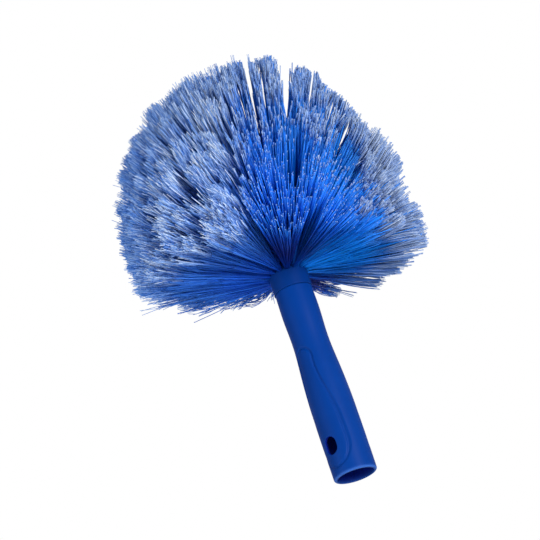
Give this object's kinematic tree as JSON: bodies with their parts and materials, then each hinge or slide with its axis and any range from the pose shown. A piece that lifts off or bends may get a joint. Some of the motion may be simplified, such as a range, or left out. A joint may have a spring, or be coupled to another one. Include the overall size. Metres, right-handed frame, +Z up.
{
  "type": "cobweb brush",
  "caption": "Ball-shaped cobweb brush head with flagged bristles fanning from a round knob, on a short hollow handle whose open end slips over an extension pole.",
  "frame": {"origin": "centre of the pole socket's mouth, on the flat end of the handle", "axes": "+Z up the brush from the mouth to the top of the bristle ball; the thumb panels and the hang hole face -Y and +Y"},
  "size_m": [0.204, 0.204, 0.301],
  "materials": {
    "handle_plastic": "satin",
    "block_plastic": "satin",
    "bristle": "matte",
    "anchor_wire": "satin"
  },
  "bodies": {
    "root": {"handle": "handle_plastic", "brush_block": "block_plastic", "tuft_ring_1_01": "bristle", "tuft_ring_2_01": "bristle", "tuft_ring_2_02": "bristle", "tuft_ring_2_03": "bristle", "tuft_ring_2_04": "bristle", "tuft_ring_2_05": "bristle", "tuft_ring_2_06": "bristle", "tuft_ring_3_01": "bristle", "tuft_ring_3_02": "bristle", "tuft_ring_3_03": "bristle", "tuft_ring_3_04": "bristle", "tuft_ring_3_05": "bristle", "tuft_ring_3_06": "bristle", "tuft_ring_3_07": "bristle", "tuft_ring_3_08": "bristle", "tuft_ring_3_09": "bristle", "tuft_ring_3_10": "bristle", "tuft_ring_3_11": "bristle", "tuft_ring_4_01": "bristle", "tuft_ring_4_02": "bristle", "tuft_ring_4_03": "bristle", "tuft_ring_4_04": "bristle", "tuft_ring_4_05": "bristle", "tuft_ring_4_06": "bristle", "tuft_ring_4_07": "bristle", "tuft_ring_4_08": "bristle", "tuft_ring_4_09": "bristle", "tuft_ring_4_10": "bristle", "tuft_ring_4_11": "bristle", "tuft_ring_4_12": "bristle", "tuft_ring_4_13": "bristle", "tuft_ring_4_14": "bristle", "tuft_ring_4_15": "bristle", "tuft_ring_5_01": "bristle", "tuft_ring_5_02": "bristle", "tuft_ring_5_03": "bristle", "tuft_ring_5_04": "bristle", "tuft_ring_5_05": "bristle", "tuft_ring_5_06": "bristle", "tuft_ring_5_07": "bristle", "tuft_ring_5_08": "bristle", "tuft_ring_5_09": "bristle", "tuft_ring_5_10": "bristle", "tuft_ring_5_11": "bristle", "tuft_ring_5_12": "bristle", "tuft_ring_5_13": "bristle", "tuft_ring_5_14": "bristle", "tuft_ring_5_15": "bristle", "tuft_ring_5_16": "bristle", "anchors_ring_1": "anchor_wire", "anchors_ring_2": "anchor_wire", "anchors_ring_3": "anchor_wire", "anchors_ring_4": "anchor_wire", "anchors_ring_5": "anchor_wire"}
  },
  "joints": []
}
